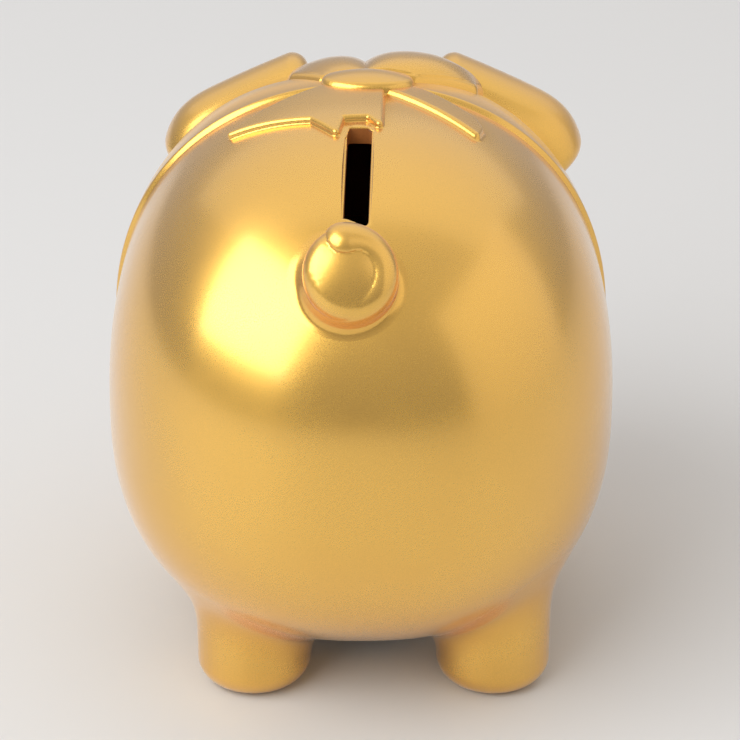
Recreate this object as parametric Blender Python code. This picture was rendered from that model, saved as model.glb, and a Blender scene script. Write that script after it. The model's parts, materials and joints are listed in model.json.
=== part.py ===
"""A round ceramic piggy bank with a bow at its neck, its belly closed by a rubber stopper.

The pig faces -Y and stands on z = 0. Its left side is +X. Lengths are in metres.
The clay pieces that a potter luts onto the cast shell are separate objects, each a JOINT_GAP from it.
"""

import math

import bmesh
import bpy
from mathutils import Matrix, Vector

MM = 0.001
JOINT_GAP = 0.3 * MM

# Body: a rounded, superelliptic egg. Its centre is set back so that nose and rump are level about y = 0.
BODY_HALF_WIDTH = 52.0 * MM
BODY_HALF_LENGTH = 62.0 * MM
BODY_RISE = 63.0 * MM
BODY_DROP = 45.0 * MM
BODY_FULLNESS = 2.37
SNOUT_REACH = 72.5 * MM
BODY_SET_BACK = (SNOUT_REACH - BODY_HALF_LENGTH) / 2
BELLY_CLEARANCE = 6.0 * MM
BODY_CENTRE = Vector((0.0, BODY_SET_BACK, BELLY_CLEARANCE + BODY_DROP))
WALL = 3.4 * MM
BODY_DIVISIONS = 14
ROOM_DIVISIONS = 10

# Coin slot: as long as a 26.5 mm coin needs, cut straight down through the back.
SLOT_WIDTH = 4.8 * MM
SLOT_FRONT = 11.0 * MM
SLOT_REAR = 38.5 * MM

# Belly hole, its flat seat and the stopper that fills them.
HOLE_SET_BACK = 8.0 * MM
HOLE_RADIUS = 15.0 * MM
SEAT_RADIUS = 18.4 * MM
SEAT_HEIGHT = 8.6 * MM
STOPPER_FLANGE_RADIUS = 17.8 * MM
STOPPER_FLANGE_THICKNESS = 3.0 * MM
STOPPER_SHANK_RADIUS = 14.2 * MM
STOPPER_LIP_RADIUS = 14.7 * MM
STOPPER_TOP = 17.5 * MM
STOPPER_RUBBER = 2.4 * MM
STOPPER_EDGE = 0.8 * MM
STOPPER_LIP = 2.2 * MM
GRIP_RADIUS = 10.5 * MM
GRIP_DEPTH = 1.7 * MM

# Feet.
FOOT_RADIUS = 11.7 * MM
FOOT_ROUNDING = 4.3 * MM
FOOT_SPREAD = 24.6 * MM
FOOT_SHIFT = -2.6 * MM
REAR_FOOT_SET_BACK = 30.5 * MM
FRONT_FOOT_SET_FORWARD = 23.0 * MM
FOOT_TOP = 26.0 * MM

# Snout.
SNOUT_HEIGHT = 47.0 * MM
SNOUT_HALF_WIDTH = 16.0 * MM
SNOUT_HALF_HEIGHT = 13.0 * MM
SNOUT_ROUNDING = 2.6 * MM
NOSTRIL_SPREAD = 6.2 * MM
NOSTRIL_HALF_WIDTH = 2.1 * MM
NOSTRIL_HALF_HEIGHT = 3.4 * MM
NOSTRIL_DEPTH = 3.0 * MM

# Eyes.
EYE_RADIUS = 3.6 * MM
EYE_SPREAD = 20.0 * MM
EYE_HEIGHT = 68.0 * MM

# Ears: a thick flap. Its middle line is in millimetres outwards and forwards of where it leaves the head.
EAR_ROOT = Vector((26.6, -28.5, 43.9)) * MM
EAR_SHIFT = -2.6 * MM
EAR_TILT = math.radians(26)
EAR_ALONG = Vector((math.cos(EAR_TILT), 0.0, -math.sin(EAR_TILT)))
EAR_OUT = Vector((math.sin(EAR_TILT), 0.0, math.cos(EAR_TILT)))
EAR_FORWARD = Vector((0.0, -1.0, 0.0))
EAR_LINE = [(-6, 0), (0, 0), (3.8, 1.2), (6.6, 4.5), (7.4, 9.5), (5.6, 14.5), (1.6, 18.8), (-4, 21.6), (-8, 22.6)]
EAR_HALF_WIDTHS = [13.5, 14.8, 16.2, 17.3, 17.5, 16.3, 13.0, 8.2, 3.2]
EAR_HALF_THICKNESSES = [3.9, 3.9, 3.8, 3.7, 3.6, 3.4, 3.1, 2.6, 1.6]
EAR_INNER_ARCH = 1.0 * MM
EAR_OUTER_DROOP = 9.0 * MM
EAR_SIDES = 20

# Tail: one stout, tapering turn, wound about the direction in which it leaves the rump.
TAIL_SET_BACK = 48.5 * MM
TAIL_OUTER_RADIUS = 11.2 * MM
TAIL_ROOT_RADIUS = 5.3 * MM
TAIL_TIP_RADIUS = 3.5 * MM
TAIL_SUNK_AT_ROOT = 5.0 * MM
TAIL_LIFT = 11.0 * MM
TAIL_START = math.radians(150)
TAIL_SWEEP = math.radians(325)
TAIL_STEPS = 30
TAIL_SIDES = 14

# Ribbon: the collar round the neck, swept forward under the chin and narrowed where the knot gathers it.
RIBBON_THICKNESS = 2.2 * MM
COLLAR_WIDTH = 15.5 * MM
COLLAR_NARROWING_AT_CHIN = 2.5 * MM
COLLAR_GATHERING = 6.5 * MM
COLLAR_GATHERED_OVER = math.radians(14)
COLLAR_AT_KNOT = -14.0 * MM
COLLAR_AT_CHIN = -48.0 * MM
COLLAR_LEFT_END = math.radians(82.3)
COLLAR_RIGHT_END = math.radians(100.0)

# Bow, in plan from the body's centre, in millimetres. Each length of ribbon runs from its first line
# of points, by the knot, to its second, at its far end.
KNOT_CENTRE = (-1.3, -11.5)
KNOT_HALF_WIDTH = 9.2
KNOT_HALF_LENGTH = 6.0
KNOT_RISE = 3.6 * MM
LEFT_LOOP_RISE = 4.2 * MM
RIGHT_LOOP_RISE = 5.4 * MM
LEFT_LOOP = (
    [(-1.2, -19.2), (2.6, -18.6), (6.4, -17.6)],
    [(-0.6, -38.5), (4.6, -38.0), (9.0, -35.5), (11.4, -30.0), (11.4, -22.5)],
)
RIGHT_LOOP = (
    [(-9.6, -18.2), (-6.2, -19.0), (-2.0, -19.2)],
    [(-16.6, -23.0), (-16.6, -30.0), (-14.2, -35.5), (-8.5, -38.0), (-1.6, -38.5)],
)
LEFT_TAIL = (
    [(5.3, -6.8), (1.0, -5.2), (-4.2, -5.3)],
    [(26.4, 1.6), (9.2, 5.2), (4.6, 14.2), (3.5, 9.8), (-3.2, 9.8), (-3.6, 12.6)],
)
RIGHT_TAIL = (
    [(-5.4, -5.6), (-9.2, -6.3), (-12.2, -7.2)],
    [(-23.4, 7.4), (-24.0, 4.0), (-23.4, -0.4)],
)

GOLD = (0.66, 0.38, 0.09)
RUBBER = (0.42, 0.40, 0.37)


# ---------------------------------------------------------------- the body's surface


def reach(direction, grow=0.0):
    """Distance from the body's centre to its surface, grown by this much, in a direction."""
    semi = (
        BODY_HALF_WIDTH + grow,
        BODY_HALF_LENGTH + grow,
        (BODY_RISE if direction.z > 0 else BODY_DROP) + grow,
    )
    total = sum((abs(part) / size) ** BODY_FULLNESS for part, size in zip(direction, semi))
    return total ** (-1 / BODY_FULLNESS)


def outward(offset):
    """The surface's outward normal at an offset from the body's centre."""
    semi = (BODY_HALF_WIDTH, BODY_HALF_LENGTH, BODY_RISE if offset.z > 0 else BODY_DROP)
    slope = [
        math.copysign((abs(part) / size) ** (BODY_FULLNESS - 1) / size, part)
        for part, size in zip(offset, semi)
    ]
    return Vector(slope).normalized()


def height_over(x, y):
    """How far the body's back rises over its centre at a place in plan."""
    left = 1 - (abs(x) / BODY_HALF_WIDTH) ** BODY_FULLNESS - (abs(y) / BODY_HALF_LENGTH) ** BODY_FULLNESS
    return BODY_RISE * max(left, 0.0) ** (1 / BODY_FULLNESS)


def on_back(x, y, raised):
    """A point over the pig's back, raised off it along the surface's normal."""
    offset = Vector((x, y, height_over(x, y)))
    return BODY_CENTRE + offset + outward(offset) * raised


def around_body(angle, y, raised):
    """A point on the body's girth: angle 0 is the pig's left and a quarter turn its back."""
    direction = Vector((math.cos(angle), 0, math.sin(angle)))
    share = 1 - (abs(y) / BODY_HALF_LENGTH) ** BODY_FULLNESS
    offset = direction * reach(direction) * share ** (1 / BODY_FULLNESS)
    offset.y = y
    return BODY_CENTRE + offset + outward(offset) * raised


# ---------------------------------------------------------------- making objects


def clear_scene():
    for obj in list(bpy.data.objects):
        bpy.data.objects.remove(obj)


def finish_object(name, shape, colour=GOLD, metallic=1.0, roughness=0.34):
    """Turns a bmesh into a named object with a material of its own."""
    bmesh.ops.recalc_face_normals(shape, faces=shape.faces)
    mesh = bpy.data.meshes.new(name)
    shape.to_mesh(mesh)
    shape.free()
    mesh.shade_smooth()
    mesh.set_sharp_from_angle(angle=math.radians(35))
    material = bpy.data.materials.new(name)
    material.use_nodes = True
    shader = material.node_tree.nodes["Principled BSDF"]
    shader.inputs["Base Color"].default_value = (*colour, 1)
    shader.inputs["Metallic"].default_value = metallic
    shader.inputs["Roughness"].default_value = roughness
    mesh.materials.append(material)
    obj = bpy.data.objects.new(name, mesh)
    bpy.context.scene.collection.objects.link(obj)
    return obj


def finish_cutter(name, shape):
    """A helper solid that only cuts others, and is no part of the pig."""
    cutter = finish_object(name, shape)
    cutter.hide_render = True
    cutter.display_type = "WIRE"
    return cutter


def cut(obj, cutter):
    modifier = obj.modifiers.new("cut by " + cutter.name, "BOOLEAN")
    modifier.operation = "DIFFERENCE"
    modifier.solver = "EXACT"
    modifier.object = cutter


def loft(rings):
    """A closed solid through rings of points, each end closed by one face."""
    shape = bmesh.new()
    loops = [[shape.verts.new(point) for point in ring] for ring in rings]
    for here, there in zip(loops, loops[1:]):
        for i in range(len(here)):
            j = (i + 1) % len(here)
            shape.faces.new((here[i], here[j], there[j], there[i]))
    shape.faces.new(loops[0])
    shape.faces.new(loops[-1])
    return shape


def turned(profile, sides, centre):
    """A solid turned about a vertical axis: profile holds (radius, height), from one end to the other."""
    rings = []
    for radius, height in profile:
        angles = [math.tau * i / sides for i in range(sides)]
        rings.append([
            centre + Vector((radius * math.cos(a), radius * math.sin(a), height)) for a in angles
        ])
    return loft(rings)


def egg(divisions, grow):
    """The body's closed surface, grown by this much: a gridded cube pushed out to it."""
    shape = bmesh.new()
    bmesh.ops.create_cube(shape, size=2)
    bmesh.ops.subdivide_edges(shape, edges=shape.edges, cuts=divisions - 1, use_grid_fill=True)
    for vert in shape.verts:
        evened = Vector([math.tan(part * math.pi / 4) for part in vert.co])
        direction = evened.normalized()
        vert.co = BODY_CENTRE + direction * reach(direction, grow)
    return shape


def slab(rows):
    """A closed slab from a grid of (underside, top) point pairs."""
    shape = bmesh.new()
    under = [[shape.verts.new(pair[0]) for pair in row] for row in rows]
    over = [[shape.verts.new(pair[1]) for pair in row] for row in rows]
    for grid in (under, over):
        for r in range(len(grid) - 1):
            for c in range(len(grid[0]) - 1):
                shape.faces.new((grid[r][c], grid[r][c + 1], grid[r + 1][c + 1], grid[r + 1][c]))
    last_row, last = len(rows) - 1, len(rows[0]) - 1
    rim = [(0, c) for c in range(last)] + [(r, last) for r in range(last_row)]
    rim += [(last_row, c) for c in range(last, 0, -1)] + [(r, 0) for r in range(last_row, 0, -1)]
    for (r, c), (s, d) in zip(rim, rim[1:] + rim[:1]):
        shape.faces.new((under[r][c], under[s][d], over[s][d], over[r][c]))
    return shape


def along(points, share):
    """The place at this share of a line through points, which are evenly spread along it."""
    spot = share * (len(points) - 1)
    i = min(int(spot), len(points) - 2)
    return Vector(points[i]).lerp(Vector(points[i + 1]), spot - i)


# ---------------------------------------------------------------- the pieces


def body_shell():
    """The hollow body, with the coin slot, the belly hole and the hole's flat seat cut in it."""
    shell = finish_object("body_shell", egg(BODY_DIVISIONS, 0.0))
    cut(shell, finish_cutter("coin_room", egg(ROOM_DIVISIONS, -WALL)))

    slot = bmesh.new()
    bmesh.ops.create_cube(slot, size=1)
    size = Matrix.Diagonal((SLOT_WIDTH, SLOT_REAR - SLOT_FRONT, BODY_RISE, 1))
    middle = BODY_CENTRE + Vector((0, (SLOT_FRONT + SLOT_REAR) / 2, BODY_RISE))
    bmesh.ops.transform(slot, matrix=Matrix.Translation(middle) @ size, verts=slot.verts)
    cut(shell, finish_cutter("slot_cutter", slot))

    under = Vector((0, BODY_SET_BACK + HOLE_SET_BACK, 0))
    profile = [
        (SEAT_RADIUS, 0.0),
        (SEAT_RADIUS, SEAT_HEIGHT),
        (HOLE_RADIUS, SEAT_HEIGHT),
        (HOLE_RADIUS, SEAT_HEIGHT + BODY_DROP / 2),
    ]
    cut(shell, finish_cutter("hole_cutter", turned(profile, 40, under)))


def belly_stopper():
    """A hollow rubber plug. Its lip is drawn squeezed to pass the hole."""
    floor = SEAT_HEIGHT - JOINT_GAP
    bottom = floor - STOPPER_FLANGE_THICKNESS
    inner = STOPPER_SHANK_RADIUS - STOPPER_RUBBER
    profile = [
        (STOPPER_FLANGE_RADIUS - STOPPER_EDGE, bottom),
        (STOPPER_FLANGE_RADIUS, bottom + STOPPER_EDGE),
        (STOPPER_FLANGE_RADIUS, floor),
        (STOPPER_SHANK_RADIUS, floor),
        (STOPPER_SHANK_RADIUS, STOPPER_TOP - 2 * STOPPER_LIP),
        (STOPPER_LIP_RADIUS, STOPPER_TOP - STOPPER_LIP),
        (STOPPER_SHANK_RADIUS - STOPPER_EDGE, STOPPER_TOP),
        (inner, STOPPER_TOP),
        (inner, floor),
    ]
    centre = Vector((0, BODY_SET_BACK + HOLE_SET_BACK, 0))
    plug = finish_object("belly_stopper", turned(profile, 40, centre), RUBBER, 0.0, 0.6)

    # Two half-moon finger recesses leave a bar across the face to pull the plug by.
    arc = [math.radians(20 + 14 * i) for i in range(11)]
    for name, side in (("rear", 1), ("front", -1)):
        outline = [Vector((math.cos(a), side * math.sin(a), 0)) * GRIP_RADIUS for a in arc]
        levels = [Vector((0, 0, z)) for z in (bottom - STOPPER_EDGE, bottom + GRIP_DEPTH)]
        rings = [[centre + point + level for point in outline] for level in levels]
        cut(plug, finish_cutter(f"grip_{name}", loft(rings)))


def feet(skin):
    """Four round stubs with rounded soles, cut to the body's underside."""
    turns = [math.radians(90 * i / 4) for i in range(5)]
    profile = [
        (
            FOOT_RADIUS - FOOT_ROUNDING + FOOT_ROUNDING * math.sin(t),
            FOOT_ROUNDING * (1 - math.cos(t)),
        )
        for t in turns
    ]
    profile.append((FOOT_RADIUS, FOOT_TOP))
    for across, side in (("left", 1), ("right", -1)):
        for end, y in (("rear", REAR_FOOT_SET_BACK), ("front", -FRONT_FOOT_SET_FORWARD)):
            centre = Vector((FOOT_SHIFT + side * FOOT_SPREAD, BODY_SET_BACK + y, 0))
            foot = finish_object(f"foot_{end}_{across}", turned(profile, 28, centre))
            cut(foot, skin)


def snout(skin):
    """An oval disc with two oval nostrils."""
    turns = [math.radians(90 * i / 3) for i in range(4)]
    steps = [(0.0, -BODY_HALF_LENGTH + 10 * MM)]
    steps += [
        (SNOUT_ROUNDING * (math.cos(t) - 1), -SNOUT_REACH + SNOUT_ROUNDING * (1 - math.sin(t)))
        for t in turns
    ]
    rings = []
    for inset, y in steps:
        ring = []
        for i in range(32):
            a = math.tau * i / 32
            x = (SNOUT_HALF_WIDTH + inset) * math.cos(a)
            z = (SNOUT_HALF_HEIGHT + inset) * math.sin(a)
            ring.append(Vector((x, BODY_SET_BACK + y, SNOUT_HEIGHT + z)))
        rings.append(ring)
    disc = finish_object("snout", loft(rings))
    cut(disc, skin)
    for name, side in (("left", 1), ("right", -1)):
        rings = []
        for y in (-SNOUT_REACH - MM, -SNOUT_REACH + NOSTRIL_DEPTH):
            rings.append([
                Vector((
                    side * NOSTRIL_SPREAD + NOSTRIL_HALF_WIDTH * math.cos(math.tau * i / 16),
                    BODY_SET_BACK + y,
                    SNOUT_HEIGHT + NOSTRIL_HALF_HEIGHT * math.sin(math.tau * i / 16),
                ))
                for i in range(16)
            ])
        cut(disc, finish_cutter(f"nostril_{name}", loft(rings)))


def eyes(skin):
    """Small beads, half sunk where the head's front has their place across and in height."""
    for name, side in (("left", 1), ("right", -1)):
        rise = EYE_HEIGHT - BODY_CENTRE.z
        used = (EYE_SPREAD / BODY_HALF_WIDTH) ** BODY_FULLNESS + (rise / BODY_RISE) ** BODY_FULLNESS
        offset = Vector((side * EYE_SPREAD, -BODY_HALF_LENGTH * (1 - used) ** (1 / BODY_FULLNESS), rise))
        bead = bmesh.new()
        bmesh.ops.create_uvsphere(bead, u_segments=14, v_segments=8, radius=EYE_RADIUS)
        bmesh.ops.transform(bead, matrix=Matrix.Translation(BODY_CENTRE + offset), verts=bead.verts)
        cut(finish_object(f"eye_{name}", bead), skin)


def ears(skin):
    """Thick flaps that rise from the head, fold forward and hang to a blunt tip."""
    line = [Vector((a, b)) * MM for a, b in EAR_LINE]
    for name, side in (("left", 1), ("right", -1)):
        rings = []
        for i, (spot, half, thick) in enumerate(zip(line, EAR_HALF_WIDTHS, EAR_HALF_THICKNESSES)):
            tangent = (line[min(i + 1, len(line) - 1)] - line[max(i - 1, 0)]).normalized()
            middle = EAR_ROOT + EAR_OUT * spot.x + EAR_FORWARD * spot.y
            across = EAR_OUT * -tangent.y + EAR_FORWARD * tangent.x
            ring = []
            for s in range(EAR_SIDES):
                a = math.tau * s / EAR_SIDES
                wide = math.copysign(abs(math.cos(a)) ** 0.8, math.cos(a))
                deep = math.copysign(abs(math.sin(a)) ** 0.8, math.sin(a))
                point = middle + EAR_ALONG * (half * MM * wide) + across * (thick * MM * deep)
                spread = wide * half / max(EAR_HALF_WIDTHS)
                droop = EAR_OUTER_DROOP * spread**4 if spread > 0 else EAR_INNER_ARCH * spread**2
                point -= EAR_OUT * droop
                ring.append(BODY_CENTRE + Vector((EAR_SHIFT + side * point.x, point.y, point.z)))
            rings.append(ring)
        cut(finish_object(f"ear_{name}", loft(rings)), skin)


def curly_tail(skin):
    """A tapering tube that winds once round and comes to rest over its own root."""
    root = Vector((0, TAIL_SET_BACK, height_over(0, TAIL_SET_BACK)))
    away = outward(root)
    right = Vector((-1, 0, 0))
    up = away.cross(right)
    if up.z < 0:
        up = -up
    centres, radii = [], []
    for i in range(TAIL_STEPS + 1):
        share = i / TAIL_STEPS
        turn = TAIL_START + TAIL_SWEEP * share
        radius = TAIL_ROOT_RADIUS + (TAIL_TIP_RADIUS - TAIL_ROOT_RADIUS) * share
        lift = TAIL_LIFT * share**0.6 - TAIL_SUNK_AT_ROOT
        spoke = (right * math.cos(turn) + up * math.sin(turn)) * (TAIL_OUTER_RADIUS - radius)
        centres.append(BODY_CENTRE + root + away * lift + spoke)
        radii.append(radius)
    # A rounded end past the last full ring.
    last = (centres[-1] - centres[-2]).normalized()
    for t in (30, 60, 80):
        centres.append(centres[TAIL_STEPS] + last * TAIL_TIP_RADIUS * math.sin(math.radians(t)))
        radii.append(TAIL_TIP_RADIUS * math.cos(math.radians(t)))
    rings = []
    for i, (centre, radius) in enumerate(zip(centres, radii)):
        tangent = (centres[min(i + 1, len(centres) - 1)] - centres[max(i - 1, 0)]).normalized()
        side = tangent.cross(away).normalized()
        top = side.cross(tangent)
        angles = [math.tau * s / TAIL_SIDES for s in range(TAIL_SIDES)]
        rings.append([centre + (side * math.cos(a) + top * math.sin(a)) * radius for a in angles])
    cut(finish_object("curly_tail", loft(rings)), skin)


def neck_collar():
    """The ribbon round the neck, from one side of the knot all the way round to the other."""
    span = math.tau + COLLAR_LEFT_END - COLLAR_RIGHT_END
    steps = 80
    rows = []
    for i in range(steps + 1):
        angle = COLLAR_RIGHT_END + span * i / steps
        from_knot = min(angle - COLLAR_RIGHT_END, COLLAR_RIGHT_END + span - angle)
        lowness = (1 - math.sin(angle)) / 2
        middle = COLLAR_AT_KNOT + (COLLAR_AT_CHIN - COLLAR_AT_KNOT) * lowness**1.6
        width = COLLAR_WIDTH - COLLAR_NARROWING_AT_CHIN * lowness
        width -= COLLAR_GATHERING * math.exp(-((from_knot / COLLAR_GATHERED_OVER) ** 2))
        row = []
        for j in range(4):
            y = middle + width * (j / 3 - 0.5)
            row.append((around_body(angle, y, JOINT_GAP), around_body(angle, y, RIBBON_THICKNESS)))
        rows.append(row)
    finish_object("neck_collar", slab(rows))


def ribbon_piece(name, plan, steps, puff):
    """A flat length of ribbon laid on the back, from the start line to the end line of its plan."""
    start, end = plan
    across = 16
    rows = []
    for i in range(steps + 1):
        s = i / steps
        row = []
        for j in range(across + 1):
            t = j / across
            spot = along(start, t).lerp(along(end, t), s) * MM
            crown = math.sin(math.pi * s) ** 0.5 * math.sin(math.pi * t) ** 0.5
            raised = RIBBON_THICKNESS + puff * crown
            row.append((on_back(spot.x, spot.y, JOINT_GAP), on_back(spot.x, spot.y, raised)))
        rows.append(row)
    finish_object(name, slab(rows))


def bow_knot(skin):
    """The oval, domed knot at the middle of the bow."""
    rings = []
    levels = [(1.0, -KNOT_RISE), (1.0, 0.45 * KNOT_RISE), (0.88, 0.8 * KNOT_RISE), (0.6, KNOT_RISE)]
    for share, raised in levels:
        ring = []
        for i in range(28):
            a = math.tau * i / 28
            x = KNOT_CENTRE[0] + KNOT_HALF_WIDTH * share * math.cos(a)
            y = KNOT_CENTRE[1] + KNOT_HALF_LENGTH * share * math.sin(a)
            ring.append(on_back(x * MM, y * MM, raised))
        rings.append(ring)
    cut(finish_object("bow_knot", loft(rings)), skin)


def main():
    clear_scene()
    skin = finish_cutter("body_skin", egg(BODY_DIVISIONS, JOINT_GAP))
    body_shell()
    belly_stopper()
    feet(skin)
    snout(skin)
    eyes(skin)
    ears(skin)
    curly_tail(skin)
    neck_collar()
    bow_knot(skin)
    ribbon_piece("bow_loop_left", LEFT_LOOP, 8, LEFT_LOOP_RISE - RIBBON_THICKNESS)
    ribbon_piece("bow_loop_right", RIGHT_LOOP, 8, RIGHT_LOOP_RISE - RIBBON_THICKNESS)
    ribbon_piece("bow_tail_left", LEFT_TAIL, 7, 0.0)
    ribbon_piece("bow_tail_right", RIGHT_TAIL, 6, 0.0)


main()
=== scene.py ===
# %% [markdown]
# # A gold pig money box
#
# This lesson builds a small ceramic pig that holds coins. On the real one the body is cast hollow, and the
# feet, ears, snout, tail and ribbon are separate bits of clay that the potter presses on before the firing.
# Then the whole pig is sprayed with satin gold paint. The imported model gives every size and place, so the
# first thing to do is to load it and keep its box.

# %% Load the frame
import json
import math

import bmesh
import bpy
import numpy as np
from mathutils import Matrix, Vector


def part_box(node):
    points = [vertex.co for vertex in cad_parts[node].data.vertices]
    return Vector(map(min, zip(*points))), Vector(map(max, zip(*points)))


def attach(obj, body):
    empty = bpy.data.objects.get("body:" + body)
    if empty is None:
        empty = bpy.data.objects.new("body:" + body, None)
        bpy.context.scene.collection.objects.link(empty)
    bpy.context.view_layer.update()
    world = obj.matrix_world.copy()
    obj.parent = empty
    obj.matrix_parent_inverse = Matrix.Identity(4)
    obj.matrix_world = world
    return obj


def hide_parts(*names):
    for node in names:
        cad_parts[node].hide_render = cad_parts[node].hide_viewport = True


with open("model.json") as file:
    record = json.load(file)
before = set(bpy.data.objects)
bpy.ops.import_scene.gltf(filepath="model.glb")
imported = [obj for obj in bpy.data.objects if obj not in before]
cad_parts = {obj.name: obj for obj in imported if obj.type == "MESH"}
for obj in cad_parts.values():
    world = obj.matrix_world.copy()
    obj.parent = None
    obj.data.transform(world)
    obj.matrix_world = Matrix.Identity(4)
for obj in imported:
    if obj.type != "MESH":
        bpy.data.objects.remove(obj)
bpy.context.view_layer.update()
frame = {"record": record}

MM = 0.001

# %% [markdown]
# ## Where the body is
#
# The body is an egg whose three half sizes differ, with its sides a little fuller than an ellipse. One
# formula gives its surface in every direction, so everything that sits on it can ask the same formula for
# its place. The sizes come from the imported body's own box. Only the height of the widest girth and the
# fullness are chosen here.

# %% The body's sizes
body_low, body_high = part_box("body_shell")
GIRTH_HEIGHT = 51 * MM
FULLNESS = 2.37
HALF_WIDTH = (body_high[0] - body_low[0]) / 2
HALF_LENGTH = (body_high[1] - body_low[1]) / 2
RISE = body_high[2] - GIRTH_HEIGHT
DROP = 45 * MM
CENTRE = Vector((0, (body_low[1] + body_high[1]) / 2, GIRTH_HEIGHT))
WALL = 3.4 * MM
print("half sizes", [round(s / MM, 1) for s in (HALF_WIDTH, HALF_LENGTH, RISE, DROP)], "mm")


def share_left(*parts):
    """What is left of a whole after these parts, as a share of the remaining half size."""
    return max(1 - sum(abs(part) ** FULLNESS for part in parts), 0) ** (1 / FULLNESS)


def surface_normal(offset):
    """The body's outward direction at an offset from its centre."""
    half_sizes = (HALF_WIDTH, HALF_LENGTH, RISE if offset.z > 0 else DROP)
    slope = [
        math.copysign((abs(part) / size) ** (FULLNESS - 1) / size, part)
        for part, size in zip(offset, half_sizes)
    ]
    return Vector(slope).normalized()


def over_back(x, y, raised=0.0):
    """A place over the pig's back, from a plan position about the centre, raised off the surface."""
    offset = Vector((x, y, RISE * share_left(x / HALF_WIDTH, y / HALF_LENGTH)))
    return CENTRE + offset + surface_normal(offset) * raised


# %% [markdown]
# ## A short way to write Geometry Nodes
#
# Geometry Nodes suit a shape that follows a rule, because the rule stays editable. A node tree takes many
# lines when each node is made and linked by hand, so this small class adds a node, sets its options and
# feeds its inputs in one call. It also makes the tree's own named inputs and outputs.

# %% A recipe of nodes
class Recipe:
    """A Geometry Nodes tree in the making."""

    def __init__(self, name):
        self.tree = bpy.data.node_groups.new(name, "GeometryNodeTree")
        self.entry = self.tree.nodes.new("NodeGroupInput")
        self.exit = self.tree.nodes.new("NodeGroupOutput")

    def take(self, name, kind="Float"):
        """Adds a named input and returns its socket."""
        self.tree.interface.new_socket(name, in_out="INPUT", socket_type="NodeSocket" + kind)
        return self.entry.outputs[name]

    def give(self, name, source, kind="Float"):
        """Adds a named output, fed by source."""
        self.tree.interface.new_socket(name, in_out="OUTPUT", socket_type="NodeSocket" + kind)
        self.tree.links.new(source, self.exit.inputs[name])

    def add(self, kind, feeds, **options):
        """Adds a node. Each feed is a socket to link or a plain value."""
        node = self.tree.nodes.new(kind)
        for option, choice in options.items():
            setattr(node, option, choice)
        for key, source in feeds.items():
            if isinstance(source, bpy.types.NodeSocket):
                self.tree.links.new(source, node.inputs[key])
            else:
                node.inputs[key].default_value = source
        return node

    def math(self, operation, *sources):
        return self.add("ShaderNodeMath", dict(enumerate(sources)), operation=operation).outputs[0]

    def vector(self, operation, *sources):
        node = self.add("ShaderNodeVectorMath", dict(enumerate(sources)), operation=operation)
        return node.outputs["Value" if operation == "LENGTH" else "Vector"]

    def scaled(self, vector, factor):
        return self.add("ShaderNodeVectorMath", {0: vector, "Scale": factor}, operation="SCALE").outputs[0]

    def parts(self, vector):
        return self.add("ShaderNodeSeparateXYZ", {0: vector}).outputs

    def together(self, x, y, z):
        return self.add("ShaderNodeCombineXYZ", {0: x, 1: y, 2: z}).outputs[0]

    def group(self, recipe, feeds):
        node = self.tree.nodes.new("GeometryNodeGroup")
        node.node_tree = recipe.tree
        for name, source in feeds.items():
            if isinstance(source, bpy.types.NodeSocket):
                self.tree.links.new(source, node.inputs[name])
            else:
                node.inputs[name].default_value = source
        return node.outputs


def follow(recipe, name, values, start=None):
    """Runs a recipe on a start mesh, and returns what it makes as a plain object."""
    raw = bpy.data.objects.new("raw " + name, start or bpy.data.meshes.new("raw " + name))
    bpy.context.scene.collection.objects.link(raw)
    modifier = raw.modifiers.new("recipe", "NODES")
    modifier.node_group = recipe.tree
    for item in recipe.tree.interface.items_tree:
        if item.in_out == "INPUT" and item.name in values:
            modifier[item.identifier] = values[item.name]
    evaluated = raw.evaluated_get(bpy.context.evaluated_depsgraph_get())
    mesh = bpy.data.meshes.new_from_object(evaluated)
    bpy.data.objects.remove(raw)
    return as_piece(name, mesh)


def as_piece(name, mesh):
    mesh.name = name
    piece = bpy.data.objects.new(name, mesh)
    bpy.context.scene.collection.objects.link(piece)
    return piece


# %% [markdown]
# ## The body's rule, as nodes
#
# This group is the same formula in nodes. It takes a place and the body's sizes, and gives how far the
# place is outside the surface, and the point of the surface in that direction. The body itself uses the
# second answer, and every bit of clay that is pressed on it uses the first.

# %% The egg rule
def egg_rule():
    recipe = Recipe("Egg rule")
    place = recipe.take("Place", "Vector")
    centre = recipe.take("Centre", "Vector")
    half_sizes = recipe.take("Half sizes", "Vector")
    drop = recipe.take("Drop")
    fullness = recipe.take("Fullness")

    offset = recipe.vector("SUBTRACT", place, centre)
    direction = recipe.vector("NORMALIZE", offset)
    width, length, rise = recipe.parts(half_sizes)
    upward = recipe.math("GREATER_THAN", recipe.parts(direction)[2], 0.0)
    height = recipe.math("MULTIPLY_ADD", upward, recipe.math("SUBTRACT", rise, drop), drop)
    half_here = recipe.together(width, length, height)
    shares = recipe.vector("DIVIDE", recipe.vector("ABSOLUTE", direction), half_here)
    powers = [recipe.math("POWER", part, fullness) for part in recipe.parts(shares)]
    total = recipe.math("ADD", recipe.math("ADD", powers[0], powers[1]), powers[2])
    reach = recipe.math("POWER", total, recipe.math("DIVIDE", -1.0, fullness))

    recipe.give("Outside", recipe.math("SUBTRACT", recipe.vector("LENGTH", offset), reach))
    recipe.give("On surface", recipe.vector("ADD", centre, recipe.scaled(direction, reach)), "Vector")

    steepness = recipe.math("SUBTRACT", fullness, 1.0)
    steeper = [recipe.math("POWER", part, steepness) for part in recipe.parts(shares)]
    slope = recipe.vector("DIVIDE", recipe.together(*steeper), half_here)
    signed = recipe.vector("MULTIPLY", slope, recipe.vector("SIGN", direction))
    recipe.give("Outward", recipe.vector("NORMALIZE", signed), "Vector")
    return recipe


EGG = egg_rule()


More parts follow.
